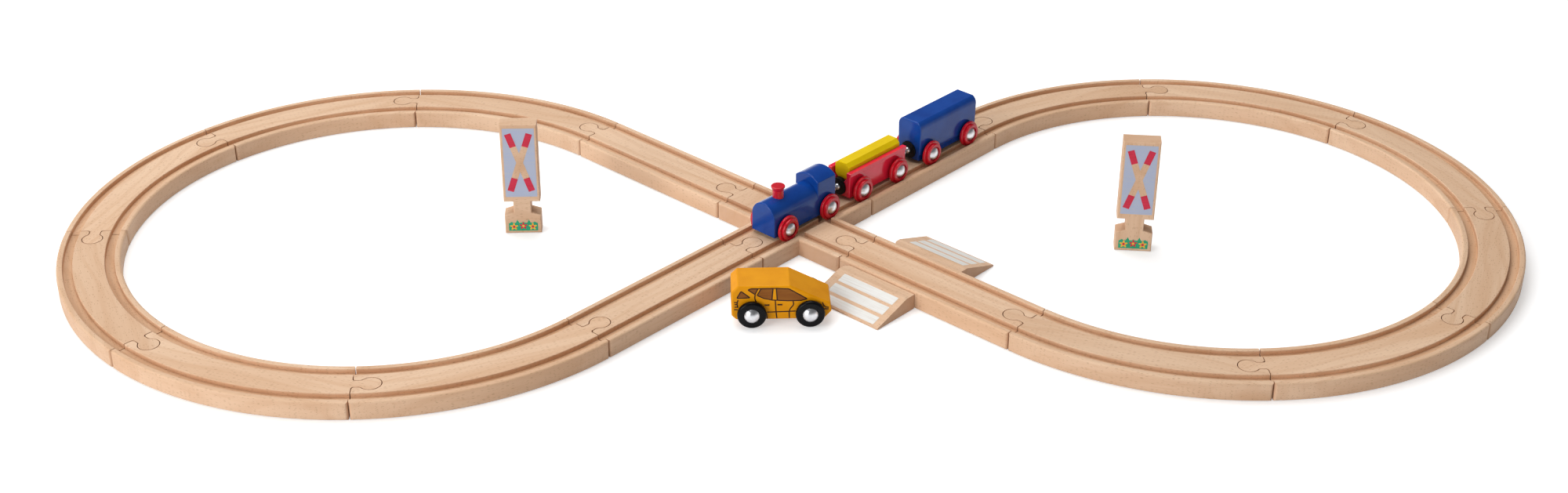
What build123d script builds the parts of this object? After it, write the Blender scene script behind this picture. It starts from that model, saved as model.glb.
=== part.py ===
"""Wooden train set in millimetres: a figure-of-eight track, a train of three, a car, ramps and signs.

Frame: +Z up, the floor at Z = 0, the origin under the middle of the crossing, +X along the figure.
Each loop is six 45 degree curves. Two straights lead from each loop to the crossing.
"""
import os
from math import cos, degrees, radians, sin, sqrt

from build123d import *

os.makedirs("parts", exist_ok=True)

# ---------------------------------------------------------------- driving dimensions: track
track_width = 40.0
track_thickness = 12.0
groove_width = 6.0
groove_depth = 3.0
groove_spacing = 26.0  # between the middles of the two grooves
groove_edge_radius = 0.5
curve_radius = 190.0  # to the middle of the track
curves_per_loop = 6
crossing_length = 108.0
joint_gap = 0.6  # between the end faces of two pieces
corner_radius = 1.8  # upright corners, and the flares of pegs and sockets
inner_corner_radius = 2.5  # upright corners where the arms of the crossing meet
edge_radius = 1.5  # long top edges
lower_edge_radius = 0.8
peg_head_diameter = 12.5
peg_neck_width = 6.6
peg_reach = 10.8  # end face to the middle of the head
peg_clearance = 0.6

# ---------------------------------------------------------------- driving dimensions: ramps
ramp_width = 56.0
ramp_length = 35.5
ramp_land = 7.5  # level strip beside the track
ramp_toe = 1.0  # thickness at the floor end
ramp_drop = 1.8  # top of the ramp below the top of the track
ramp_gap = 0.4
ramp_corner_radius = 5.0  # upright corner beside the track, at the end near the crossing
front_ramp_offset = 89.5  # middle of the crossing to the middle of the ramp
back_ramp_offset = 93.5

# ---------------------------------------------------------------- driving dimensions: wheels
axle_diameter = 3.0
axle_clearance = 0.08  # running fit, on the radius
flange_diameter = 18.0
flange_width = 2.2
tread_diameter = 14.8
tread_width = 1.9
wheel_edge_radius = 0.7
wheel_side_gap = 1.0  # side of a wagon to the wheel
rail_gap = 0.25  # wheel to groove floor
cap_diameter = 9.6
cap_height = 1.3  # how far a cap stands out of its wheel
cap_recess = 1.1  # depth of the seat that a cap lies in
cap_gap = 0.5  # round the cap, in its seat

# ---------------------------------------------------------------- driving dimensions: train
body_width = 20.0
body_clearance = 2.2  # top of the track to the underside of a wagon
body_edge_radius = 0.7
coupled_gap = 15.0  # between the ends of two coupled wagons
train_front = -33.0  # place of the engine's front along the track, from the crossing

loco_length = 60.0
loco_front_axle = 11.0
loco_rear_axle = 52.0
boiler_height = 22.3  # underside to the top of the boiler
cab_length = 17.7
cab_height = 28.2  # underside to the top of the roof
roof_rise = 3.8
roof_edge_radius = 0.8
funnel_setback = 14.3
funnel_height = 7.8
funnel_foot_diameter = 7.4
funnel_top_diameter = 9.2
funnel_rim = 1.0
funnel_waist = 4.9  # top of the boiler to where the funnel starts to widen
funnel_seat = 2.0  # how far the foot runs down over the round boiler
funnel_edge_radius = 0.4
funnel_spigot_diameter = 4.0
funnel_spigot_length = 5.0

open_wagon_length = 59.0
open_wagon_height = 18.2
open_wagon_wheelbase = 37.5
rim_height = 2.4
rim_flare = 0.8
load_width = 12.6
load_height = 12.0
load_chamfer = 2.6
load_edge_chamfer = 0.4
load_inset = 3.0  # end of the wagon to the end of the load
load_clearance = 0.4
trough_floor = 10.8  # underside of the wagon to the floor of its trough

box_wagon_length = 62.0
box_wagon_height = 29.0
box_wagon_wheelbase = 41.5
box_shoulder_width = 3.2  # round shoulder between each side and the flat top
box_shoulder_height = 5.2
box_ridge_radius = 0.5
box_waist = 1.4  # set-in of the lower strip, each side
box_waist_height = 3.6
box_bulge = 0.4

# ---------------------------------------------------------------- driving dimensions: couplings
coupling_height = 6.4  # underside of a wagon to the middle of the magnet
collar_diameter = 12.4
collar_depth = 2.0
collar_edge_radius = 0.4
front_collar_proud = 1.2
rear_collar_proud = 2.0
magnet_diameter = 4.6
magnet_shank_diameter = 3.2
magnet_shank_depth = 5.0
magnet_gap = 0.3

# ---------------------------------------------------------------- driving dimensions: car
car_length = 62.0
car_width = 24.0
car_height = 23.9
car_clearance = 4.0
car_roof_length = 32.0
car_rear_chamfer = 4.0
car_nose_height = 10.8
car_nose_drop = 5.3
car_nose_rake = 0.8
car_lip = 4.5
car_sill = 3.0  # size of the chamfer under the rear
car_corner_radius = 1.6
car_edge_radius = 1.2
car_front_overhang = 13.4
car_wheelbase = 36.1
car_wheel_diameter = 18.2
car_wheel_width = 4.0
car_wheel_edge_radius = 1.6
car_wheel_side_gap = 0.4
car_cap_height = 2.6
car_place = (-15.2, -102.1)

# ---------------------------------------------------------------- driving dimensions: signs
sign_width = 24.0
sign_height = 80.0
sign_thickness = 11.0
sign_neck_width = 11.8
sign_base_height = 13.5
sign_shoulder_rise = 2.0
sign_panel_bottom = 23.5
sign_edge_radius = 0.8
left_sign_place = (-181.3, 14.2)
left_sign_turn = 0.0
right_sign_place = (220.3, -24.3)
right_sign_turn = -8.0

# ---------------------------------------------------------------- worked-out dimensions
loop_turn = 270.0
curve_angle = loop_turn / curves_per_loop
arm_angle = 45.0
crossing_half = crossing_length / 2
straight_length = curve_radius - crossing_half
groove_middle = groove_spacing / 2
groove_floor = track_thickness - groove_depth
socket_head_diameter = peg_head_diameter + 2 * peg_clearance
socket_neck_width = peg_neck_width + 2 * peg_clearance
upwards = (Align.CENTER, Align.CENTER, Align.MIN)  # stands on its plane
overlap = 4.0  # how far a peg's neck or a cutter runs on, so that solids join well
underside = track_thickness + body_clearance
axle_height = groove_floor + rail_gap + flange_diameter / 2
wheel_inner = body_width / 2 + wheel_side_gap
wheel_outer = wheel_inner + flange_width + tread_width
magnet_height = underside + coupling_height
open_wagon_front = train_front + loco_length + coupled_gap
box_wagon_front = open_wagon_front + open_wagon_length + coupled_gap


def write(name, shape):
    """Export one sub-part, named after its node."""
    export_step(shape, "parts/" + name + ".step")


def along(start, heading, distance=0.0, sideways=0.0):
    """Point reached from start by going ahead along a heading in degrees, and to its left."""
    ahead = (cos(radians(heading)), sin(radians(heading)))
    left = (-ahead[1], ahead[0])
    return (
        start[0] + distance * ahead[0] + sideways * left[0],
        start[1] + distance * ahead[1] + sideways * left[1],
    )


def put(shape, place, heading=0.0, height=0.0):
    """Move a shape made at the origin, facing +X, to its place and heading."""
    return Pos(place[0], place[1], height) * Rot(0, 0, heading) * shape


# ---------------------------------------------------------------- track
def board_profile(grooved):
    """Cross-section of the track, across in X and up in Y."""
    board = Pos(0, track_thickness / 2) * Rectangle(track_width, track_thickness)
    board = fillet(board.vertices().group_by(Axis.Y)[-1], edge_radius)
    board = fillet(board.vertices().group_by(Axis.Y)[0], lower_edge_radius)
    if grooved:
        slot = Rectangle(groove_width, 2 * groove_depth)
        board -= Pos(groove_middle, track_thickness) * slot
        board -= Pos(-groove_middle, track_thickness) * slot
        reach = groove_middle + groove_width / 2 + groove_edge_radius / 2
        lips = board.vertices().group_by(Axis.Y)[-1].filter_by(lambda v: abs(v.X) < reach)
        board = fillet(lips, groove_edge_radius)
    return board


def peg_plan(head_diameter, neck_width, tail):
    """Plan of a peg that points along +X from the origin; tail is how far its neck runs back."""
    neck = Pos((peg_reach - tail) / 2, 0) * Rectangle(peg_reach + tail, neck_width)
    head = Pos(peg_reach, 0) * Rot(0, 0, 180) * Circle(head_diameter / 2)
    return neck + head


def cut_ends(plan, start, start_heading, end, end_heading):
    """Set both ends of a plan back by half the joint gap, then add its socket and its peg."""
    strip = Rectangle(joint_gap, 2 * track_width)
    plan -= put(strip, start, start_heading)
    plan -= put(strip, end, end_heading)
    socket = peg_plan(socket_head_diameter, socket_neck_width, joint_gap)
    peg = peg_plan(peg_head_diameter, peg_neck_width, overlap)
    plan -= put(socket, start, start_heading)
    plan += put(peg, end, end_heading)
    return fillet(plan.vertices(), corner_radius)


def straight_track():
    """Straight from the origin along +X, with its socket at the origin."""
    plan = Pos(straight_length / 2, 0) * Rectangle(straight_length, track_width)
    plan = cut_ends(plan, (0, 0), 0, (straight_length, 0), 0)
    reach = peg_reach + peg_head_diameter
    section = Pos(-reach, 0, 0) * (Plane.YZ * board_profile(True))
    bar = extrude(section, amount=straight_length + 2 * reach, dir=(1, 0, 0))
    return extrude(plan, amount=track_thickness) & bar


def curved_track(side):
    """Curve from the origin along +X, turning left when side is 1 and right when it is -1."""
    outer = curve_radius + track_width / 2
    inner = curve_radius - track_width / 2
    middle = (0, curve_radius)
    arcs = [CenterArc(middle, radius, -90, curve_angle) for radius in (inner, outer)]
    ends = [Line(arcs[0] @ t, arcs[1] @ t) for t in (0, 1)]
    plan = make_face(arcs + ends)
    end = along(middle, curve_angle - 90, curve_radius)
    plan = cut_ends(plan, (0, 0), 0, end, curve_angle)
    spare = degrees((peg_reach + peg_head_diameter) / (curve_radius - track_width / 2))
    axis = Axis((0, curve_radius, 0), (0, 0, 1))
    section = (Plane.YZ * board_profile(True)).rotate(axis, -spare)
    ring = revolve(section, axis=axis, revolution_arc=curve_angle + 2 * spare)
    piece = extrude(plan, amount=track_thickness) & ring
    return piece if side > 0 else mirror(piece, about=Plane.XZ)


def crossing_track():
    """Two tracks that cross at a right angle: sockets on the two near arms, pegs on the two far arms."""
    arm = Rectangle(crossing_length - joint_gap, track_width)
    plan = Rot(0, 0, arm_angle) * arm + Rot(0, 0, -arm_angle) * arm
    socket = peg_plan(socket_head_diameter, socket_neck_width, joint_gap)
    peg = peg_plan(peg_head_diameter, peg_neck_width, overlap)
    for heading in (arm_angle, 180 - arm_angle):
        plan -= put(socket, along((0, 0), heading, -crossing_half), heading)
        plan += put(peg, along((0, 0), heading, crossing_half), heading)
    inside = track_width / sqrt(2) + corner_radius
    corners = plan.vertices().filter_by(lambda v: v.center().length < inside)
    plan = fillet(corners, inner_corner_radius)
    inside += inner_corner_radius * 2
    plan = fillet(plan.vertices().filter_by(lambda v: v.center().length > inside), corner_radius)
    length = crossing_length + 4 * (peg_reach + peg_head_diameter)
    bar = extrude(Plane.YZ * board_profile(False), amount=length, dir=(1, 0, 0))
    bar = Pos(-length / 2, 0, 0) * bar
    grooves = [
        Pos(0, side * groove_middle, track_thickness) * Box(length, groove_width, 2 * groove_depth)
        for side in (-1, 1)
    ]
    solid = extrude(plan, amount=track_thickness)
    solid &= Rot(0, 0, arm_angle) * bar + Rot(0, 0, -arm_angle) * bar
    for heading in (arm_angle, -arm_angle):
        solid -= [Rot(0, 0, heading) * groove for groove in grooves]
    return solid


def write_loop(name, start, heading, side):
    """Write the six curves of one loop and return the place and heading where it ends."""
    curve = curved_track(side)
    for number in range(curves_per_loop):
        write(name + "_curve_" + str(number + 1), put(curve, start, heading))
        middle = along(start, heading, 0, side * curve_radius)
        turned = heading + side * curve_angle
        start = along(middle, turned, 0, -side * curve_radius)
        heading = turned
    return start, heading


def write_track():
    """Write the crossing, the four straights and both loops."""
    write("crossing", crossing_track())
    straight = straight_track()
    for name, heading, side in (("right", arm_angle, -1), ("left", 180 - arm_angle, 1)):
        start = along((0, 0), heading, crossing_half)
        write(name + "_straight_out", put(straight, start, heading))
        start = along(start, heading, straight_length)
        start, heading = write_loop(name, start, heading, side)
        write(name + "_straight_in", put(straight, start, heading))


def ramp():
    """Ramp whose high side lies on the X axis, falling towards -Y, its round corner at the -X end."""
    top = track_thickness - ramp_drop
    outline = Polyline(
        (0, 0), (0, top), (-ramp_land, top), (-ramp_length, ramp_toe), (-ramp_length, 0), close=True
    )
    block = extrude(Plane.YZ * make_face(outline), amount=ramp_width / 2, both=True)
    upright = block.edges().filter_by(Axis.Z).group_by(Axis.Y)[-1].sort_by(Axis.X)[0]
    return fillet(upright, ramp_corner_radius)


def write_ramps():
    """Write the two ramps that lead over the straight on the front right; one mirrors the other."""
    heading = -arm_angle
    reach = track_width / 2 + ramp_gap
    front = ramp()
    back = mirror(front, about=Plane.XZ)
    write("front_ramp", put(front, along((0, 0), heading, front_ramp_offset, -reach), heading))
    write("back_ramp", put(back, along((0, 0), heading, back_ramp_offset, reach), heading))


# ---------------------------------------------------------------- wheels
def dome(base_diameter, height):
    """Domed cap that stands on the XY plane, its top towards +Z."""
    base = base_diameter / 2
    ball = (base**2 + height**2) / (2 * height)
    side = ThreePointArc((base, 0), (sqrt(ball**2 - (ball - height / 2) ** 2), height / 2), (0, height))
    face = make_face([side, Line((0, height), (0, 0)), Line((0, 0), (base, 0))])
    return revolve(Plane.XZ * face, axis=Axis.Z)


def axle(length, head_height):
    """Axle of this length across the Y axis, with a domed cap on each end."""
    rod = Rot(90, 0, 0) * Cylinder(axle_diameter / 2, length)
    cap = dome(cap_diameter, head_height)
    left_cap = Pos(0, length / 2, 0) * Rot(-90, 0, 0) * cap
    right_cap = Pos(0, -length / 2, 0) * Rot(90, 0, 0) * cap
    return rod + left_cap + right_cap


def stepped_wheel():
    """Wheel on the Y axis: a flange with a smaller tread outside it, from Y = 0 outwards."""
    width = flange_width + tread_width
    seat = cap_diameter / 2 + cap_gap
    outline = Polyline(
        (axle_diameter / 2, 0),
        (flange_diameter / 2, 0),
        (flange_diameter / 2, flange_width),
        (tread_diameter / 2, flange_width),
        (tread_diameter / 2, width),
        (seat, width),
        (seat, width - cap_recess),
        (axle_diameter / 2, width - cap_recess),
        close=True,
    )
    face = make_face(outline)
    columns = face.vertices().group_by(Axis.X)
    rims = columns[-1] + columns[-2].sort_by(Axis.Y)[-1:]
    face = fillet(rims, wheel_edge_radius)
    return revolve(face, axis=Axis.Y)


def car_wheel():
    """Plain wheel with rounded edges, on the Y axis from Y = 0 outwards."""
    depth = (car_wheel_diameter - axle_diameter) / 2
    middle = axle_diameter / 2 + depth / 2
    face = Pos(middle, car_wheel_width / 2) * Rectangle(depth, car_wheel_width)
    face = fillet(face.vertices().group_by(Axis.X)[-1], car_wheel_edge_radius)
    return revolve(face, axis=Axis.Y)


def write_wheels(name, wheel, inner, reach, head_height, place, heading, height):
    """Write one axle and its pair of wheels; inner is the wheel's side and reach the cap's seat."""
    pin = axle(2 * reach, head_height)
    near = Pos(0, inner, 0) * wheel
    pair = near + mirror(near, about=Plane.XZ)
    write(name + "_axle", put(pin, place, heading, height))
    write(name + "_wheels", put(pair, place, heading, height))


def bored(body, stations, height, width):
    """Body with a hole for each axle; stations are places along X."""
    radius = axle_diameter / 2 + axle_clearance
    hole = Rot(90, 0, 0) * Cylinder(radius, 2 * width)
    return body - [Pos(station, 0, height) * hole for station in stations]


# ---------------------------------------------------------------- couplings
def collar(proud):
    """Black ring on the YZ plane, let in behind it and standing proud towards -X."""
    thickness = collar_depth + proud
    ring = Cylinder(collar_diameter / 2, thickness, align=upwards)
    ring = fillet(ring.faces().sort_by(Axis.Z)[-1].edges(), collar_edge_radius)
    ring -= Cylinder(magnet_shank_diameter / 2, thickness, align=upwards)
    return Rot(0, -90, 0) * Pos(0, 0, -collar_depth) * ring


def front_magnet():
    """Half-round magnet head on the front collar, with its shank in the wagon."""
    head = dome(magnet_diameter, magnet_diameter / 2)
    length = magnet_shank_depth + front_collar_proud
    shank = Pos(0, 0, -length) * Cylinder(magnet_shank_diameter / 2, length, align=upwards)
    return Rot(0, -90, 0) * Pos(0, 0, front_collar_proud) * (head + shank)


def rear_magnet():
    """Ball magnet on a neck that reaches to the front magnet of the next wagon."""
    reach = coupled_gap - front_collar_proud - magnet_diameter / 2 - magnet_gap
    ball = Pos(0, 0, reach - magnet_diameter / 2) * Rot(0, 90, 0) * Sphere(magnet_diameter / 2)
    length = magnet_shank_depth + reach - magnet_diameter / 2
    shank = Cylinder(magnet_shank_diameter / 2, length, align=upwards)
    return Rot(0, -90, 0) * (ball + Pos(0, 0, -magnet_shank_depth) * shank)


def coupling_pocket():
    """Cutter for a collar and a magnet's shank, running into the wagon from the YZ plane."""
    recess = Cylinder(collar_diameter / 2, collar_depth, align=upwards)
    hole = Cylinder(magnet_shank_diameter / 2, magnet_shank_depth, align=upwards)
    return Rot(0, 90, 0) * (recess + hole)


def at_front(shape):
    """Place a coupling part on the front of a wagon whose front is the YZ plane."""
    return Pos(0, 0, coupling_height) * shape


def at_rear(shape, length):
    """Place a coupling part on the rear of a wagon of this length."""
    return Pos(length, 0, coupling_height) * Rot(0, 0, 180) * shape


def write_wagon_part(name, shape, front):
    """Write a part of the train, made facing -X with its front at X = 0 and its underside at Z = 0."""
    place = along((0, 0), arm_angle, front)
    write(name, put(shape, place, arm_angle, underside))


def write_couplings(name, front, length, has_front, has_rear):
    """Write the collars and magnets of one wagon."""
    if has_front:
        write_wagon_part(name + "_front_collar", at_front(collar(front_collar_proud)), front)
        write_wagon_part(name + "_front_magnet", at_front(front_magnet()), front)
    if has_rear:
        write_wagon_part(name + "_rear_collar", at_rear(collar(rear_collar_proud), length), front)
        write_wagon_part(name + "_rear_magnet", at_rear(rear_magnet(), length), front)


def write_train_wheels(name, front, stations):
    """Write the two axles of one wagon with their wheels."""
    wheel = stepped_wheel()
    for end, station in zip(("front", "rear"), stations):
        place = along((0, 0), arm_angle, front + station)
        reach = wheel_outer - cap_recess
        rise = cap_height + cap_recess
        write_wheels(name + "_" + end, wheel, wheel_inner, reach, rise, place, arm_angle, axle_height)


# ---------------------------------------------------------------- train
def long_block(profile, length):
    """Wooden block of this profile from the YZ plane along +X, its end edges rounded."""
    block = extrude(Plane.YZ * profile, amount=length, dir=(1, 0, 0))
    ends = block.faces().filter_by(Axis.X)
    return fillet([edge for face in ends for edge in face.edges()], body_edge_radius)


def write_engine():
    """Write the engine: its block with the boiler, its cab and its funnel."""
    radius = body_width / 2
    floor = boiler_height - radius
    base = Pos(0, floor / 2) * Rectangle(body_width, floor)
    boiler = long_block(base + Pos(0, floor) * Circle(radius), loco_length)
    cab_front = loco_length - cab_length
    seat = Box(2 * cab_length, 2 * body_width, 2 * boiler_height, align=upwards)
    boiler -= Pos(cab_front + cab_length, 0, floor) * seat
    stations = (loco_front_axle, loco_rear_axle)
    boiler = bored(boiler, stations, axle_height - underside, body_width)
    boiler -= at_rear(coupling_pocket(), loco_length)
    funnel_hole = Cylinder(funnel_spigot_diameter / 2, boiler_height, align=upwards)
    boiler -= Pos(funnel_setback, 0, boiler_height - funnel_spigot_length) * funnel_hole
    write_wagon_part("engine_block", boiler, train_front)

    eave = cab_height - roof_rise
    arch = ThreePointArc((radius, eave), (0, cab_height), (-radius, eave))
    walls = Polyline((-radius, eave), (-radius, floor), (radius, floor), (radius, eave))
    cab = make_face([arch, walls])
    cab = fillet(cab.vertices().group_by(Axis.Y)[-1], roof_edge_radius)
    cab = extrude(Plane.YZ * cab, amount=cab_length, dir=(1, 0, 0))
    ends = [edge for face in cab.faces().filter_by(Axis.X) for edge in face.edges().sort_by(Axis.Z)[1:]]
    cab = Pos(cab_front, 0, 0) * fillet(ends, body_edge_radius)
    cab -= at_rear(coupling_pocket(), loco_length)
    write_wagon_part("engine_cab", cab, train_front)

    foot = funnel_foot_diameter / 2
    mouth = funnel_top_diameter / 2
    outline = Polyline(
        (0, -funnel_spigot_length),
        (funnel_spigot_diameter / 2, -funnel_spigot_length),
        (funnel_spigot_diameter / 2, -funnel_seat),
        (foot, -funnel_seat),
        (foot, funnel_waist),
        (mouth, funnel_height - funnel_rim),
        (mouth, funnel_height),
        (0, funnel_height),
        close=True,
    )
    funnel = revolve(Plane.XZ * make_face(outline), axis=Axis.Z)
    funnel = fillet(funnel.edges().sort_by(Axis.Z)[-1], funnel_edge_radius)
    funnel = Pos(funnel_setback, 0, boiler_height) * funnel
    write_wagon_part("engine_funnel", funnel - boiler, train_front)
    write_couplings("engine", train_front, loco_length, False, True)
    write_train_wheels("engine", train_front, stations)


def load_profile(grow):
    """Eight-sided section of the load, grown on every side by a clearance."""
    section = Rectangle(load_width + 2 * grow, load_height + 2 * grow)
    return chamfer(section.vertices(), load_chamfer)


def write_open_wagon():
    """Write the open wagon with the trough, and the bar that lies in it."""
    half = body_width / 2
    side = half - rim_flare
    shoulder = open_wagon_height - rim_height
    outline = Polyline(
        (-side, 0),
        (side, 0),
        (side, shoulder - rim_flare),
        (half, shoulder),
        (half, open_wagon_height),
        (-half, open_wagon_height),
        (-half, shoulder),
        (-side, shoulder - rim_flare),
        close=True,
    )
    load_middle = trough_floor + load_clearance + load_height / 2
    trough = Pos(0, load_middle) * load_profile(load_clearance)
    mouth = Rectangle(load_width + 2 * load_clearance, load_height)
    trough += Pos(0, load_middle + load_height / 2) * mouth
    block = long_block(make_face(outline), open_wagon_length)
    block -= extrude(Plane.YZ * trough, amount=open_wagon_length, dir=(1, 0, 0))
    first = (open_wagon_length - open_wagon_wheelbase) / 2
    stations = (first, first + open_wagon_wheelbase)
    block = bored(block, stations, axle_height - underside, body_width)
    block -= at_front(coupling_pocket())
    block -= at_rear(coupling_pocket(), open_wagon_length)
    write_wagon_part("open_wagon_body", block, open_wagon_front)

    length = open_wagon_length - 2 * load_inset
    bar = extrude(Plane.YZ * load_profile(0), amount=length, dir=(1, 0, 0))
    bar = chamfer(bar.faces().filter_by(Axis.X).edges(), load_edge_chamfer)
    write_wagon_part("open_wagon_load", Pos(load_inset, 0, load_middle) * bar, open_wagon_front)
    write_couplings("open_wagon", open_wagon_front, open_wagon_length, True, True)
    write_train_wheels("open_wagon", open_wagon_front, stations)


def write_box_wagon():
    """Write the tall closed wagon."""
    half = body_width / 2
    waist = half - box_waist
    belt = (half - box_bulge, box_waist_height + box_waist)
    spring = (half, box_wagon_height - box_shoulder_height)
    ridge = (half - box_shoulder_width, box_wagon_height)
    right = [
        Line((0, 0), (waist, 0)),
        Line((waist, 0), (waist, box_waist_height)),
        Line((waist, box_waist_height), belt),
        Line(belt, spring),
        TangentArc(spring, ridge, tangent=(0, 1)),
        Line(ridge, (0, box_wagon_height)),
    ]
    left = [mirror(edge, about=Plane.YZ) for edge in right]
    profile = make_face(right + left)
    top = profile.vertices().group_by(Axis.Y)[-1].sort_by(Axis.X)
    profile = fillet([top[0], top[-1]], box_ridge_radius)
    block = long_block(profile, box_wagon_length)
    first = (box_wagon_length - box_wagon_wheelbase) / 2
    stations = (first, first + box_wagon_wheelbase)
    block = bored(block, stations, axle_height - underside, body_width)
    block -= at_front(coupling_pocket())
    block -= at_rear(coupling_pocket(), box_wagon_length)
    write_wagon_part("box_wagon_body", block, box_wagon_front)
    write_couplings("box_wagon", box_wagon_front, box_wagon_length, True, True)
    write_train_wheels("box_wagon", box_wagon_front, stations)


# ---------------------------------------------------------------- car
def write_car():
    """Write the car, which stands on the floor beside the crossing and faces +X."""
    outline = Polyline(
        (car_sill, 0),
        (0, car_sill),
        (0, car_height - car_rear_chamfer),
        (car_rear_chamfer, car_height),
        (car_rear_chamfer + car_roof_length, car_height),
        (car_length - car_nose_rake, car_nose_height),
        (car_length, car_nose_drop),
        (car_length - car_lip, 0),
        close=True,
    )
    shell = make_face(outline)
    shell = fillet(shell.vertices(), car_corner_radius)
    block = extrude(Plane.XZ * shell, amount=car_width / 2, both=True)
    sides = block.faces().filter_by(Axis.Y)
    block = fillet([edge for face in sides for edge in face.edges()], car_edge_radius)
    rear_station = car_length - car_front_overhang - car_wheelbase
    stations = (rear_station, rear_station + car_wheelbase)
    axle_level = car_wheel_diameter / 2
    block = bored(block, stations, axle_level - car_clearance, car_width)
    rear = (car_place[0] - car_length / 2, car_place[1])
    write("car_body", put(block, rear, 0, car_clearance))
    wheel = car_wheel()
    inner = car_width / 2 + car_wheel_side_gap
    outer = inner + car_wheel_width
    for end, station in zip(("rear", "front"), stations):
        place = along(rear, 0, station)
        write_wheels("car_" + end, wheel, inner, outer, car_cap_height, place, 0, axle_level)


# ---------------------------------------------------------------- signs
def sign():
    """Road sign cut from one board, standing on the origin and facing -Y."""
    half = sign_width / 2
    neck = sign_neck_width / 2
    right = [
        (0, 0),
        (half, 0),
        (half, sign_base_height),
        (neck, sign_base_height + sign_shoulder_rise),
        (neck, sign_panel_bottom),
        (half, sign_panel_bottom),
        (half, sign_height),
        (0, sign_height),
    ]
    left = [(-x, z) for x, z in reversed(right[1:-1])]
    outline = make_face(Polyline(*right, *left, close=True))
    board = extrude(Plane.XZ * outline, amount=sign_thickness / 2, both=True)
    faces = board.faces().filter_by(Axis.Y)
    return fillet([edge for face in faces for edge in face.edges()], sign_edge_radius)


def write_signs():
    """Write the two level-crossing signs, one inside each loop."""
    board = sign()
    write("left_sign", put(board, left_sign_place, left_sign_turn))
    write("right_sign", put(board, right_sign_place, right_sign_turn))


write_track()
write_ramps()
write_engine()
write_open_wagon()
write_box_wagon()
write_car()
write_signs()
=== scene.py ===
"""Looks of the wooden train set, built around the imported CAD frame. Lengths are in metres."""
from math import cos, pi, radians, sin, sqrt

import bmesh
import bpy
from mathutils import Matrix, Vector
from mathutils.geometry import tessellate_polygon


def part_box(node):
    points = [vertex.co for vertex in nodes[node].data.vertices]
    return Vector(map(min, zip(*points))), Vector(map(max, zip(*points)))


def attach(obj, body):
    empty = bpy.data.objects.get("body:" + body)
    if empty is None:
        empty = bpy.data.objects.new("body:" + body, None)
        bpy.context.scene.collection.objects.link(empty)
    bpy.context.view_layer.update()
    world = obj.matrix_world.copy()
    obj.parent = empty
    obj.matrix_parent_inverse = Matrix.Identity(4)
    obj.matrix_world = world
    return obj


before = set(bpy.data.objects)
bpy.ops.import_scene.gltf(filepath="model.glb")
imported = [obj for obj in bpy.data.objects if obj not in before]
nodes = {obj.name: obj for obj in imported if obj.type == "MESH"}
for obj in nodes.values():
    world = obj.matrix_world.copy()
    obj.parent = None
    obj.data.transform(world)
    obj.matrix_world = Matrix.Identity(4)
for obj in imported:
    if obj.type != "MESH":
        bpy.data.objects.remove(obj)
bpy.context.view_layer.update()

MM = 0.001
ARM = 45.0  # heading of the straights, in degrees
CURVES = 6  # curves in each loop
CURVE_TURN = 45.0


# ---------------------------------------------------------------- shader graphs
class Graph:
    """A node material; add() makes a node, links sockets given as inputs and sets the plain values."""

    def __init__(self, name):
        self.material = bpy.data.materials.new(name)
        self.material.use_nodes = True
        self.tree = self.material.node_tree
        self.surface = self.tree.nodes["Principled BSDF"]

    def set(self, target, inputs):
        for key, value in inputs.items():
            socket = target.inputs[key]
            if isinstance(value, bpy.types.NodeSocket):
                self.tree.links.new(value, socket)
            else:
                socket.default_value = value

    def add(self, kind, inputs=None, **settings):
        made = self.tree.nodes.new("ShaderNode" + kind)
        for key, value in settings.items():
            setattr(made, key, value)
        self.set(made, inputs or {})
        return made

    def math(self, operation, a, b=0.0, c=0.0, clamp=False):
        made = self.add("Math", {0: a, 1: b, 2: c}, operation=operation, use_clamp=clamp)
        return made.outputs[0]

    def band(self, value, low, high):
        """0 below low, 1 above high, smooth between; low may be the larger."""
        flip = low > high
        inputs = {"Value": value, "From Min": min(low, high), "From Max": max(low, high)}
        inputs.update({"To Min": 1.0 if flip else 0.0, "To Max": 0.0 if flip else 1.0})
        return self.add("MapRange", inputs, interpolation_type="SMOOTHSTEP").outputs[0]

    def mix(self, factor, a, b, blend="MIX"):
        made = self.add("Mix", {"Factor": factor}, data_type="RGBA", blend_type=blend)
        self.set(made, {6: a, 7: b})
        return made.outputs[2]

    def noise(self, vector, scale, detail, roughness):
        inputs = {"Vector": vector, "Scale": scale, "Detail": detail, "Roughness": roughness}
        return self.add("TexNoise", inputs).outputs["Fac"]

    def scaled(self, vector, scale):
        return self.add("Mapping", {"Vector": vector, "Scale": scale}).outputs[0]

    def bump(self, height, strength, distance):
        made = self.add("Bump", {"Height": height, "Strength": strength, "Distance": distance})
        self.set(self.surface, {"Normal": made.outputs[0]})

    def finish(self, **inputs):
        self.set(self.surface, {key.replace("_", " "): value for key, value in inputs.items()})
        return self.material


BEECH_LIGHT = (0.77, 0.535, 0.360, 1)
BEECH_MID = (0.68, 0.432, 0.266, 1)
BEECH_WARM = (0.60, 0.345, 0.190, 1)
BEECH_FLECK = (0.38, 0.190, 0.095, 1)
BEECH_END = (0.58, 0.350, 0.220, 1)
PAINTED_SIDE_SHADE = (0.98, 0.96, 0.97, 1)  # painted shade: upright faces a little darker than level ones
# colour the grooves are multiplied by: router burn and painted shade
GROOVE_BURN_AND_SHADE = (0.93, 0.86, 0.78, 1)
TRACK_HALF = 20.0 * MM
GROOVE_REACH = 13.0 * MM  # middle of the track to the middle of a groove
GROOVE_HALF = 3.0 * MM
TRACK_TOP = 12.0 * MM
GROOVE_DEPTH = 3.0 * MM


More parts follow.
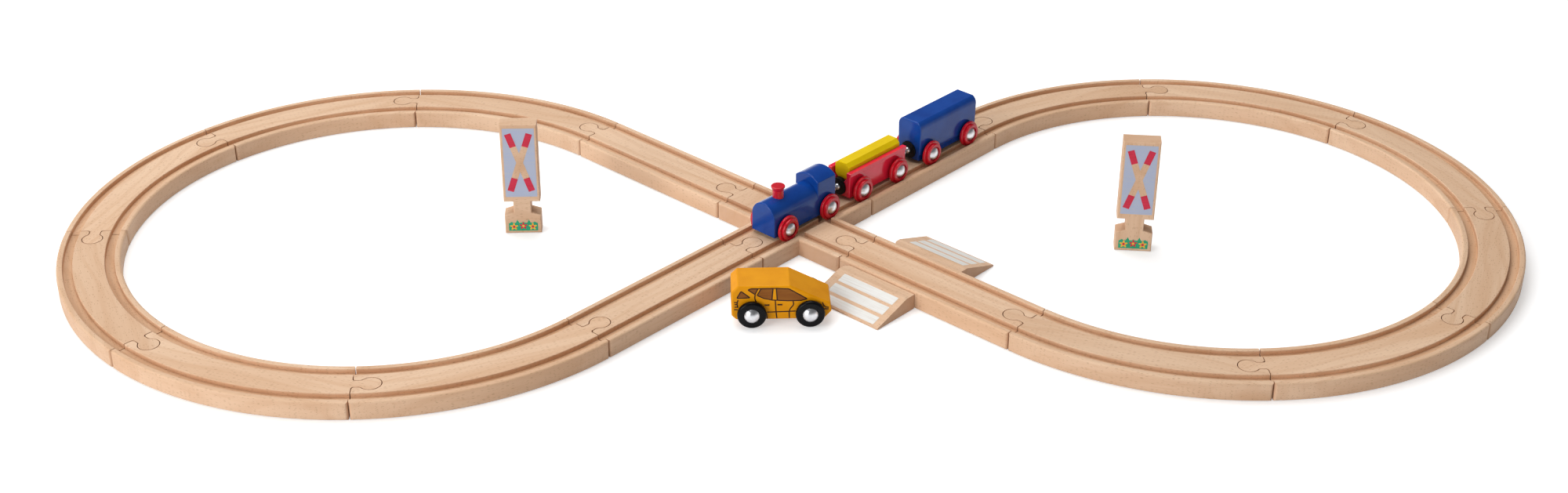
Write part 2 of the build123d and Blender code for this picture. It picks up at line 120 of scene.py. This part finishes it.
def groove_mask(g, coords, lines, ring):
    """1 inside the grooves, which follow straight lines at some headings or one ring (middle, radius)."""
    parts = g.add("SeparateXYZ", {0: coords}).outputs
    masks = []
    for heading in lines:
        turned = g.add("VectorRotate", {"Vector": coords, "Angle": radians(-heading)})
        side = g.add("SeparateXYZ", {0: turned.outputs[0]}).outputs[1]
        masks.append(g.math("ABSOLUTE", side))
    if ring:
        middle, radius = ring
        flat = g.add("CombineXYZ", {0: parts[0], 1: parts[1], 2: 0.0}).outputs[0]
        away = g.add("VectorMath", {0: flat, 1: middle}, operation="DISTANCE").outputs["Value"]
        masks.append(g.math("ABSOLUTE", g.math("SUBTRACT", away, radius)))
    total = None
    for side in masks:
        off = g.math("ABSOLUTE", g.math("SUBTRACT", side, GROOVE_REACH))
        inside = g.band(off, GROOVE_HALF + 0.3 * MM, GROOVE_HALF - 0.1 * MM)
        total = inside if total is None else g.math("MAXIMUM", total, inside)
    deep = g.band(parts[2], TRACK_TOP - 0.2 * MM, TRACK_TOP - 0.7 * GROOVE_DEPTH)
    above = g.band(parts[2], TRACK_TOP - GROOVE_DEPTH - 1.5 * MM, TRACK_TOP - GROOVE_DEPTH - 0.5 * MM)
    return g.math("MULTIPLY", total, g.math("MULTIPLY", deep, above))


def beech(name, heading, seed, lines=(), ring=None, upright=False, tone=0.0):
    """Sanded beech whose grain runs along a heading, or upright; lines and ring place the grooves."""
    g = Graph(name)
    source = g.add("TexCoord")
    coords = source.outputs["Object"]
    normal = source.outputs["Normal"]
    turn = (0, radians(90), 0) if upright else (0, 0, radians(-heading))
    shift = (0.731 * seed, 0.417 * seed, 0.193 * seed)
    local = g.add("Mapping", {"Vector": coords, "Rotation": turn, "Location": shift}).outputs[0]
    facing = g.add("Mapping", {"Vector": normal, "Rotation": turn}, vector_type="NORMAL").outputs[0]
    along = g.math("ABSOLUTE", g.add("SeparateXYZ", {0: facing}).outputs[0])
    upward = g.math("ABSOLUTE", g.add("SeparateXYZ", {0: normal}).outputs[2])

    broad = g.noise(g.scaled(local, (5, 45, 45)), 1.0, 3.0, 0.55)
    streak = g.noise(g.scaled(local, (16, 420, 420)), 1.0, 4.0, 0.6)
    wavy = g.noise(g.scaled(local, (7, 26, 26)), 1.0, 2.0, 0.5)
    rise = g.add("SeparateXYZ", {0: g.scaled(local, (30, 560, 300))}).outputs[1]
    rings = g.math("SINE", g.math("ADD", rise, g.math("MULTIPLY", wavy, 26.0)))
    rings = g.band(rings, 0.15, 1.0)
    color = g.mix(g.band(broad, 0.30, 0.72), BEECH_LIGHT, BEECH_MID)
    color = g.mix(g.math("MULTIPLY", rings, 0.24), color, BEECH_WARM)
    color = g.mix(g.math("MULTIPLY", g.band(streak, 0.50, 0.78), 0.42), color, BEECH_WARM)

    cells = g.add("TexVoronoi", {"Vector": g.scaled(local, (330, 2100, 2100)), "Scale": 1.0})
    chance = g.add("SeparateXYZ", {0: cells.outputs["Color"]}).outputs[0]
    fleck = g.math("MULTIPLY", g.band(cells.outputs["Distance"], 0.42, 0.20), g.band(chance, 0.66, 0.74))
    fleck = g.math("MULTIPLY", fleck, g.band(along, 0.8, 0.5))
    color = g.mix(g.math("MULTIPLY", fleck, 0.55), color, BEECH_FLECK)

    dots = g.noise(g.scaled(local, (300, 1500, 1500)), 1.0, 3.0, 0.7)
    end = g.mix(g.band(dots, 0.35, 0.7), BEECH_END, BEECH_WARM)
    color = g.mix(g.math("MULTIPLY", g.band(along, 0.55, 0.9), 0.6), color, end)
    # painted shade: upright faces made a little darker and pinker than level ones, as if the light fell from
    # above
    side = g.band(upward, 0.75, 0.25)
    color = g.mix(g.math("MULTIPLY", side, 0.55), color, PAINTED_SIDE_SHADE, "MULTIPLY")
    if lines or ring:
        # grooves darker: partly the router's burn, partly painted shade where the groove walls would shade them
        groove = groove_mask(g, coords, lines, ring)
        burn_and_shade = g.math("MULTIPLY", groove, g.math("ADD", 0.55, g.math("MULTIPLY", streak, 0.7)), clamp=True)
        color = g.mix(burn_and_shade, color, GROOVE_BURN_AND_SHADE, "MULTIPLY")
    shade = 1.0 + tone
    color = g.mix(1.0, color, (shade, shade * (1 + 0.12 * tone), shade * (1 + 0.25 * tone), 1), "MULTIPLY")
    grain = g.math("ADD", g.math("MULTIPLY", streak, 0.6), g.math("MULTIPLY", fleck, -0.5))
    g.bump(grain, 0.25, 0.12 * MM)
    rough = g.math("ADD", 0.50, g.math("MULTIPLY", streak, 0.14))
    return g.finish(Base_Color=color, Roughness=rough, Specular_IOR_Level=0.35)


def paint(name, base, dark, rough, gloss, grain_heading, relief=0.10):
    """Paint on wood: slow colour drift, fine brush and grain relief, a few dust specks."""
    g = Graph(name)
    source = g.add("TexCoord").outputs["Object"]
    turn = (0, 0, radians(-grain_heading))
    coords = g.add("Mapping", {"Vector": source, "Rotation": turn}).outputs[0]
    drift = g.noise(coords, 55.0, 3.0, 0.55)
    grain = g.noise(g.scaled(coords, (60, 900, 900)), 1.0, 3.0, 0.6)
    peel = g.noise(coords, 900.0, 2.0, 0.5)
    color = g.mix(g.band(drift, 0.32, 0.72), base, dark)
    color = g.mix(g.math("MULTIPLY", g.band(grain, 0.55, 0.8), 0.25), color, dark)
    height = g.math("ADD", g.math("MULTIPLY", grain, 0.5), g.math("MULTIPLY", peel, 0.5))
    g.bump(height, relief, 0.08 * MM)
    smudge = g.math("ADD", rough, g.math("MULTIPLY", drift, 0.10))
    return g.finish(Base_Color=color, Roughness=smudge, Specular_IOR_Level=gloss)


def plastic(name, base, dark, rough, gloss):
    """Moulded plastic: slight colour drift, fine mould texture and soft scuffs."""
    g = Graph(name)
    coords = g.add("TexCoord").outputs["Object"]
    drift = g.noise(coords, 140.0, 2.0, 0.5)
    scuff = g.noise(g.scaled(coords, (700, 2400, 700)), 1.0, 4.0, 0.7)
    color = g.mix(g.band(drift, 0.35, 0.7), base, dark)
    g.bump(scuff, 0.10, 0.05 * MM)
    smudge = g.math("ADD", rough, g.math("MULTIPLY", g.band(scuff, 0.45, 0.75), 0.16))
    return g.finish(Base_Color=color, Roughness=smudge, Specular_IOR_Level=gloss)


def plated(name):
    """Bright plated steel with faint tumbling marks."""
    g = Graph(name)
    coords = g.add("TexCoord").outputs["Object"]
    marks = g.noise(g.scaled(coords, (1800, 1800, 500)), 1.0, 4.0, 0.65)
    drift = g.noise(coords, 260.0, 2.0, 0.5)
    color = g.mix(g.band(drift, 0.3, 0.7), (0.74, 0.74, 0.76, 1), (0.61, 0.61, 0.64, 1))
    g.bump(marks, 0.10, 0.05 * MM)
    rough = g.math("ADD", 0.28, g.math("MULTIPLY", g.band(marks, 0.4, 0.8), 0.14))
    return g.finish(Base_Color=color, Roughness=rough, Metallic=1.0)


def print_ink(name, base, dark, heading=0.0):
    """Ink printed on wood: the grain shows through as thin paler and darker lines."""
    g = Graph(name)
    source = g.add("TexCoord").outputs["Object"]
    coords = g.add("Mapping", {"Vector": source, "Rotation": (0, 0, radians(-heading))}).outputs[0]
    grain = g.noise(g.scaled(coords, (40, 1100, 1100)), 1.0, 4.0, 0.6)
    cloud = g.noise(coords, 160.0, 2.0, 0.5)
    color = g.mix(g.band(grain, 0.42, 0.74), base, dark)
    color = g.mix(g.math("MULTIPLY", g.band(cloud, 0.4, 0.8), 0.3), color, dark)
    g.bump(grain, 0.2, 0.05 * MM)
    spread = g.math("ADD", 0.5, g.math("MULTIPLY", grain, 0.15))
    return g.finish(Base_Color=color, Roughness=spread, Specular_IOR_Level=0.2)


# ---------------------------------------------------------------- finishes of the CAD nodes
def use(node, material):
    """Give a CAD node its finish through its material slots."""
    mesh = nodes[node].data
    if not mesh.materials:
        mesh.materials.append(material)
    for index in range(len(mesh.materials)):
        mesh.materials[index] = material


def middle_of(node):
    low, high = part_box(node)
    return (low + high) / 2


def finish_track():
    """Beech for each piece of track, its grain along the piece and its grooves darkened, partly as router burn
    and partly as painted shade.
    """
    crossing = beech("beech_crossing", ARM, 1, (ARM, -ARM), tone=-0.01)
    use("crossing", crossing)
    tones = {"left_straight_in": -0.03, "left_straight_out": 0.02, "right_straight_in": 0.04}
    for seed, (side, line) in enumerate((("right", ARM), ("left", 180 - ARM))):
        for end, heading in (("out", line), ("in", 180 - line)):
            node = side + "_straight_" + end
            finish = beech("beech_" + node, heading, 3 + seed + heading / 9, (heading,), tone=tones.get(node, 0))
            use(node, finish)
    for side, sign, seed in (("right", 1, 11), ("left", -1, 29)):
        boxes = [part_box(side + "_curve_" + str(i + 1)) for i in range(CURVES)]
        low_y = min(b[0].y for b in boxes)
        high_y = max(b[1].y for b in boxes)
        radius = (high_y - low_y) / 2 - TRACK_HALF
        middle = (sign * radius * sqrt(2), 0, 0)
        for i in range(CURVES):
            node = side + "_curve_" + str(i + 1)
            bearing = (135 - CURVE_TURN * (i + 0.5)) if sign > 0 else (45 + CURVE_TURN * (i + 0.5))
            tone = 0.035 * sin(2.3 * i + seed)
            finish = beech("beech_" + node, bearing + 90, seed + 2.7 * i, ring=(middle, radius), tone=tone)
            use(node, finish)


def finish_wood_pieces():
    """Beech for the ramps and signs."""
    use("front_ramp", beech("beech_front_ramp", -ARM, 41, tone=-0.02))
    use("back_ramp", beech("beech_back_ramp", -ARM, 43, tone=0.0))
    use("left_sign", beech("beech_left_sign", 0, 47, tone=-0.04))
    use("right_sign", beech("beech_right_sign", 0, 53, upright=True, tone=-0.02))


def finish_painted():
    """Paint, plastic and plated steel for the vehicles."""
    blue = paint("blue_paint", (0.007, 0.062, 0.325, 1), (0.005, 0.046, 0.262, 1), 0.05, 0.25, ARM, 0.04)
    red = paint("red_paint", (0.86, 0.020, 0.060, 1), (0.78, 0.015, 0.046, 1), 0.10, 0.48, ARM, 0.05)
    yellow = paint("yellow_paint", (0.83, 0.60, 0.001, 1), (0.77, 0.53, 0.001, 1), 0.42, 0.12, ARM)
    orange = paint("orange_paint", (0.81, 0.330, 0.002, 1), (0.73, 0.280, 0.001, 1), 0.38, 0.14, 0)
    red_wheel = plastic("red_plastic", (0.62, 0.008, 0.022, 1), (0.54, 0.006, 0.018, 1), 0.16, 0.45)
    black_wheel = plastic("black_plastic", (0.002, 0.002, 0.003, 1), (0.005, 0.005, 0.006, 1), 0.24, 0.12)
    holder = plastic("black_holder", (0.004, 0.004, 0.005, 1), (0.008, 0.008, 0.009, 1), 0.40, 0.15)
    steel = plated("plated_steel")
    for node in ("engine_block", "engine_cab", "box_wagon_body"):
        use(node, blue)
    use("open_wagon_body", red)
    use("open_wagon_load", yellow)
    use("car_body", orange)
    use("engine_funnel", red_wheel)
    for node in nodes:
        if node.endswith("_axle") or node.endswith("_magnet"):
            use(node, steel)
        elif node.endswith("_collar"):
            use(node, holder)
        elif node.endswith("_wheels"):
            use(node, black_wheel if node.startswith("car") else red_wheel)


# ---------------------------------------------------------------- prints
INK = 0.06 * MM  # height of one layer of print
STEP = 0.05  # share of a layer by which shapes of one print differ in height


def rounded(points, radius, closed=True, steps=5):
    """Corner points with each corner drawn as a short curve."""
    count = len(points)
    result = []
    for i, point in enumerate(points):
        corner = Vector(point)
        if not closed and i in (0, count - 1):
            result.append(corner)
            continue
        before = Vector(points[i - 1]) - corner
        after = Vector(points[(i + 1) % count]) - corner
        start = corner + before.normalized() * min(radius, before.length / 2)
        end = corner + after.normalized() * min(radius, after.length / 2)
        for k in range(steps + 1):
            t = k / steps
            result.append(start * (1 - t) ** 2 + corner * 2 * t * (1 - t) + end * t * t)
    return result


def disc(center, radius, steps=20):
    """Points of a circle."""
    return [
        Vector((center[0] + radius * cos(2 * pi * i / steps), center[1] + radius * sin(2 * pi * i / steps)))
        for i in range(steps)
    ]


def flower(center, radius, petals=5, steps=40):
    """Points of a flower with round petals."""
    turns = [2 * pi * i / steps for i in range(steps)]
    reach = [radius * (0.72 + 0.28 * cos(petals * t)) for t in turns]
    return [Vector((center[0] + r * sin(t), center[1] + r * cos(t))) for r, t in zip(reach, turns)]


def stroke(points, width, closed=False):
    """Loops that bound a line of this width through the points."""
    count = len(points)
    left = []
    right = []
    for i, point in enumerate(points):
        before = points[i - 1] if closed or i > 0 else point
        after = points[(i + 1) % count] if closed or i < count - 1 else point
        run = (Vector(after) - Vector(before)).normalized()
        aside = Vector((-run.y, run.x)) * width / 2
        left.append(Vector(point) + aside)
        right.append(Vector(point) - aside)
    return [left, right] if closed else [left + right[::-1]]


def add_print(name, body, material, shapes, place, layer=1):
    """Thin mesh of flat shapes, each a list of loops in millimetres; place(x, y, height) gives frame points."""
    verts = []
    faces = []
    for number, loops in enumerate(shapes):
        base = len(verts)
        count = sum(len(loop) for loop in loops)
        top = (layer + STEP * number) * INK
        for height in (top, -INK):
            verts += [place(p[0] * MM, p[1] * MM, height) for loop in loops for p in loop]
        triangles = tessellate_polygon([[Vector((p[0], p[1], 0)) for p in loop] for loop in loops])
        faces += [tuple(base + i for i in t) for t in triangles]
        faces += [tuple(base + count + i for i in reversed(t)) for t in triangles]
        first = base
        for loop in loops:
            ring = [first + i for i in range(len(loop))]
            faces += [(a, b, count + b, count + a) for a, b in zip(ring, ring[1:] + ring[:1])]
            first += len(loop)
    mesh = bpy.data.meshes.new(name)
    mesh.from_pydata([tuple(v) for v in verts], [], faces)
    mesh.materials.append(material)
    piece = bpy.data.objects.new(name, mesh)
    bpy.context.scene.collection.objects.link(piece)
    fix_normals(piece)
    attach(piece, body)


def fix_normals(piece):
    """Turn every face of a closed mesh outwards."""
    work = bmesh.new()
    work.from_mesh(piece.data)
    bmesh.ops.recalc_face_normals(work, faces=work.faces)
    work.to_mesh(piece.data)
    work.free()


RAMP_LENGTH = 35.5 * MM
RAMP_LAND = 7.5 * MM  # level strip beside the track
RAMP_TOE = 1.0 * MM
TRACK_SIDE = 20.4 * MM  # middle of the track to the ramp
PLANK_HALF = 22.3
PLANK_ROWS = ((2.0, 8.9), (11.3, 18.6), (21.2, 27.9))  # from the crest down the slope


def ramp_place(node, side):
    """Takes (along the track, down the slope) to a point on a ramp's slope; side is -1 for the near ramp."""
    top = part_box(node)[1].z
    along = Vector((cos(radians(-ARM)), sin(radians(-ARM)), 0))
    out = Vector((-along.y, along.x, 0)) * side
    center = middle_of(node)
    crest = along * center.dot(along) + out * (TRACK_SIDE + RAMP_LAND) + Vector((0, 0, top))
    slope = (out * (RAMP_LENGTH - RAMP_LAND) + Vector((0, 0, RAMP_TOE - top))).normalized()
    normal = along.cross(slope) * -side
    return lambda x, y, h: crest + along * x + slope * y + normal * h


def print_ramps(white):
    """Three white planks on the slope of each ramp."""
    half = PLANK_HALF
    planks = [[rounded([(-half, a), (half, a), (half, b), (-half, b)], 0.5)] for a, b in PLANK_ROWS]
    for node, side in (("front_ramp", -1), ("back_ramp", 1)):
        add_print(node + "_planks", node, white, planks, ramp_place(node, side))


SIGN_HALF = 5.5 * MM  # half of a sign's thickness
CROSS_HEIGHT = 52.6  # floor to the middle of a sign's cross


def sign_place(node, turn, face):
    """Takes (x, height) on a sign's face to the frame; face is -1 for the front and 1 for the back."""
    center = middle_of(node)
    across = Vector((cos(radians(turn)), sin(radians(turn)), 0)) * (-face)
    out = Vector((-sin(radians(turn)), cos(radians(turn)), 0)) * face
    origin = Vector((center.x, center.y, 0)) + out * SIGN_HALF
    return lambda x, y, h: origin + across * x + Vector((0, 0, y)) + out * h


def cross_bar(tip, width, start=0.0, end=1.0):
    """Quad along the bar from -tip to tip about the sign's middle, between two shares of its length."""
    middle = Vector((0, CROSS_HEIGHT))
    whole = Vector(tip)
    a = middle - whole + whole * 2 * start
    b = middle - whole + whole * 2 * end
    half = Vector((-whole.y, whole.x)).normalized() * width / 2
    return [a - half, a + half, b + half, b - half]


def print_sign(node, turn, inks, wood):
    """Pale panel with a saltire of bare wood and red tips, and a flower bed on the base."""
    tips = [(7.0, 20.9), (-7.0, 20.9)]
    width = 4.3
    share = 0.225
    bars = [[cross_bar(tip, width)] for tip in tips]
    ends = [[cross_bar(tip, width, low, high)] for tip in tips for low, high in ((0, share), (1 - share, 1))]
    panel = [[rounded([(-10.3, 27.4), (10.3, 27.4), (10.3, 77.4), (-10.3, 77.4)], 0.4)]]
    hedge = [(-9.6, 1.9), (9.6, 1.9), (9.6, 7.4)]
    tufts = 5
    for i in range(tufts):
        x = 7.6 - 15.2 * i / (tufts - 1)
        height = 9.4 - 0.8 * cos(pi * i)
        hedge += [(x + 1.2, 7.8), (x, height), (x - 1.2, 7.8)]
    hedge += [(-9.6, 7.4)]
    beds = {"yellow": [(-6.2, 4.9), (6.2, 4.9)], "red": [(0, 5.5)]}
    for face, tag in ((-1, "front"), (1, "back")):
        place = sign_place(node, turn, face)
        name = node + "_" + tag
        add_print(name + "_panel", node, inks["sky"], panel, place, 1)
        add_print(name + "_cross", node, wood, bars, place, 2)
        add_print(name + "_tips", node, inks["red"], ends, place, 3)
        add_print(name + "_hedge", node, inks["green"], [[hedge]], place, 1)
        for color, heart in (("yellow", "red"), ("red", "yellow")):
            petals = [[flower(center, 2.8)] for center in beds[color]]
            hearts = [[disc(center, 0.9)] for center in beds[color]]
            add_print(name + "_petals_" + color, node, inks[color], petals, place, 2)
            add_print(name + "_hearts_" + heart, node, inks[heart], hearts, place, 3)


def car_place(face):
    """Takes (x from the rear, height above the underside) to a side of the car; face is -1 for the near side."""
    low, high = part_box("car_body")
    side = low.y if face < 0 else high.y
    return lambda x, y, h: Vector((low.x + x, side + face * h, low.z + y))


def print_car(ink, glass):
    """Windows, doors, handles and lamps drawn on both sides of the car."""
    windows = [
        rounded([(3.3, 15.6), (11.5, 15.9), (5.9, 20.6)], 0.8),
        rounded([(10.2, 21.5), (14.5, 18.2), (16.4, 22.3), (12.0, 22.3)], 0.6),
        rounded([(18.3, 22.3), (15.8, 17.5), (19.9, 15.3), (24.9, 14.1), (25.6, 22.3)], 0.6),
        rounded([(27.6, 22.3), (28.2, 13.8), (34.6, 13.3), (43.0, 13.4), (46.7, 14.5), (35.4, 21.8)], 0.7),
    ]
    handles = [[(20.4, 10.5), (23.4, 10.5)], [(28.3, 10.6), (31.4, 10.6)]]
    lines = [
        [(14.6, 18.2), (14.3, 15.4), (15.1, 12.9), (17.8, 10.4), (20.4, 7.6), (21.8, 4.4), (22.1, 0.9)],
        [(27.0, 13.9), (27.4, 6.8), (28.0, 0.9)],
        [(37.9, 13.3), (38.4, 10.4), (36.2, 7.7), (35.5, 5.2), (35.8, 0.9)],
        [(22.0, 5.4), (39.6, 5.8)],
        [(15.8, 22.3), (28.4, 22.3)],
        [(24.9, 14.0), (28.2, 13.8)],
        [(56.2, 11.8), (56.7, 9.9), (57.9, 8.4), (60.1, 8.1)],
        [(56.6, 7.0), (60.0, 7.0)],
        [(4.1, 14.4), (3.3, 11.9), (3.9, 9.0)],
        [(1.6, 12.7), (3.4, 12.7)],
        [(1.9, 11.2), (3.3, 11.2)],
        [(1.9, 9.4), (3.7, 9.4)],
        [(1.6, 7.6), (3.8, 7.6)],
    ]
    bold = 0.95
    fine = 0.70
    drawn = [stroke(window, fine, True) for window in windows]
    drawn += [stroke(rounded(points, 1.2, False), fine) for points in lines]
    drawn += [stroke(points, bold) for points in handles]
    panes = [[window] for window in windows]
    for face, tag in ((-1, "near"), (1, "far")):
        place = car_place(face)
        add_print("car_windows_" + tag, "car", glass, panes, place, 1)
        add_print("car_lines_" + tag, "car", ink, drawn, place, 2)


# ---------------------------------------------------------------- stage, light, camera
FLOOR_GLOW = 0.42  # what the floor adds of its own near the set
GLOW_FROM = 0.6  # metres from the middle, where the glow starts to rise
GLOW_TO = 1.3  # metres from the middle, from where the floor is white


def make_stage():
    """Plain white floor that keeps the shadows near the set and is white far from it."""
    bpy.ops.mesh.primitive_plane_add(size=12, location=(0, 0, -0.0003))
    floor = bpy.context.active_object
    floor.name = "floor"
    g = Graph("white_floor")
    output = g.tree.nodes["Material Output"]
    path = g.add("LightPath").outputs
    seen = g.math("MAXIMUM", path["Is Camera Ray"], path["Is Glossy Ray"])
    seen = g.math("MAXIMUM", seen, path["Is Transmission Ray"])
    away = g.add("VectorMath", {0: g.add("TexCoord").outputs["Object"]}, operation="LENGTH").outputs["Value"]
    level = g.math("MULTIPLY_ADD", g.band(away, GLOW_FROM, GLOW_TO), 1.0 - FLOOR_GLOW, FLOOR_GLOW)
    glow = g.add("Emission", {"Strength": g.math("MULTIPLY", seen, level)})
    both = g.add("AddShader", {0: g.surface.outputs[0], 1: glow.outputs[0]})
    g.finish(Base_Color=(0.80, 0.80, 0.80, 1), Roughness=0.9, Specular_IOR_Level=0.1)
    g.tree.links.new(both.outputs[0], output.inputs["Surface"])
    floor.data.materials.append(g.material)


def make_world():
    """White surroundings that darken overhead, so that gloss has something to show."""
    world = bpy.data.worlds.new("studio")
    bpy.context.scene.world = world
    world.use_nodes = True
    tree = world.node_tree
    tree.nodes.clear()

    def make(kind, **inputs):
        made = tree.nodes.new("ShaderNode" + kind)
        for key, value in inputs.items():
            made.inputs[key.replace("_", " ")].default_value = value
        return made

    coords = make("TexCoord")
    parts = make("SeparateXYZ")
    tree.links.new(coords.outputs["Generated"], parts.inputs[0])
    height = make("MapRange", From_Min=0.08, From_Max=0.32, To_Min=1.0, To_Max=0.22)
    tree.links.new(parts.outputs[2], height.inputs["Value"])
    path = make("LightPath")
    fill = make("Background", Color=(1, 1, 1, 1))
    scale = make("Math")
    scale.operation = "MULTIPLY"
    scale.inputs[1].default_value = 0.80
    tree.links.new(height.outputs[0], scale.inputs[0])
    tree.links.new(scale.outputs[0], fill.inputs["Strength"])
    seen = make("Background", Color=(1, 1, 1, 1), Strength=1.0)
    pick = make("MixShader")
    tree.links.new(path.outputs["Is Camera Ray"], pick.inputs[0])
    tree.links.new(fill.outputs[0], pick.inputs[1])
    tree.links.new(seen.outputs[0], pick.inputs[2])
    output = make("OutputWorld")
    tree.links.new(pick.outputs[0], output.inputs["Surface"])


def add_softbox(name, place, target, size, power):
    """Square soft light that looks at a target."""
    data = bpy.data.lights.new(name, "AREA")
    data.size = size
    data.energy = power
    lamp = bpy.data.objects.new(name, data)
    lamp.location = place
    lamp.rotation_euler = (Vector(target) - Vector(place)).to_track_quat("-Z", "Y").to_euler()
    bpy.context.scene.collection.objects.link(lamp)


def make_light():
    """Two broad lights, overhead and from the front left; the front one is further off and falls weaker."""
    add_softbox("overhead", (-0.4, 0.75, 2.1), (0, 0, 0), 2.0, 42.0)
    add_softbox("front_left", (-2.3, -1.95, 1.35), (0, 0, 0), 1.9, 66.0)


def make_camera():
    """Camera at the set's usual viewing angle: from the front, about 30 degrees up."""
    turn, rise, roll = radians(-2.82), radians(29.48), radians(0.38)
    distance = 1.4278
    target = Vector((-0.0092, -0.0157, 0))
    back = Vector((sin(turn) * cos(rise), -cos(turn) * cos(rise), sin(rise)))
    right = Vector((cos(turn), sin(turn), 0))
    up = back.cross(right)
    side = right * cos(roll) + up * sin(roll)
    top = up * cos(roll) - right * sin(roll)
    data = bpy.data.cameras.new("camera")
    data.sensor_width = 36
    data.lens = 49.75
    camera = bpy.data.objects.new("camera", data)
    bpy.context.scene.collection.objects.link(camera)
    facing = Matrix((side, top, back)).transposed().to_4x4()
    camera.matrix_world = Matrix.Translation(target + back * distance) @ facing
    bpy.context.scene.camera = camera


make_camera()
make_stage()
make_world()
make_light()
bpy.context.scene.view_settings.view_transform = "Standard"

finish_track()
finish_wood_pieces()
finish_painted()

white_ink = print_ink("white_ink", (0.80, 0.79, 0.76, 1), (0.71, 0.67, 0.62, 1), -ARM)
inks = {
    "sky": print_ink("sky_ink", (0.42, 0.47, 0.62, 1), (0.46, 0.49, 0.58, 1)),
    "red": print_ink("red_ink", (0.62, 0.035, 0.075, 1), (0.54, 0.03, 0.06, 1)),
    "green": print_ink("green_ink", (0.03, 0.38, 0.20, 1), (0.03, 0.30, 0.16, 1)),
    "yellow": print_ink("yellow_ink", (0.85, 0.50, 0.07, 1), (0.80, 0.42, 0.05, 1)),
}
line_ink = print_ink("line_ink", (0.035, 0.014, 0.006, 1), (0.05, 0.02, 0.008, 1))
window_ink = print_ink("window_ink", (0.235, 0.075, 0.010, 1), (0.30, 0.11, 0.015, 1))
cross_wood = beech("beech_cross", 20, 61, tone=-0.06)
print_ramps(white_ink)
print_sign("left_sign", 0.0, inks, cross_wood)
print_sign("right_sign", -8.0, inks, cross_wood)
print_car(line_ink, window_ink)
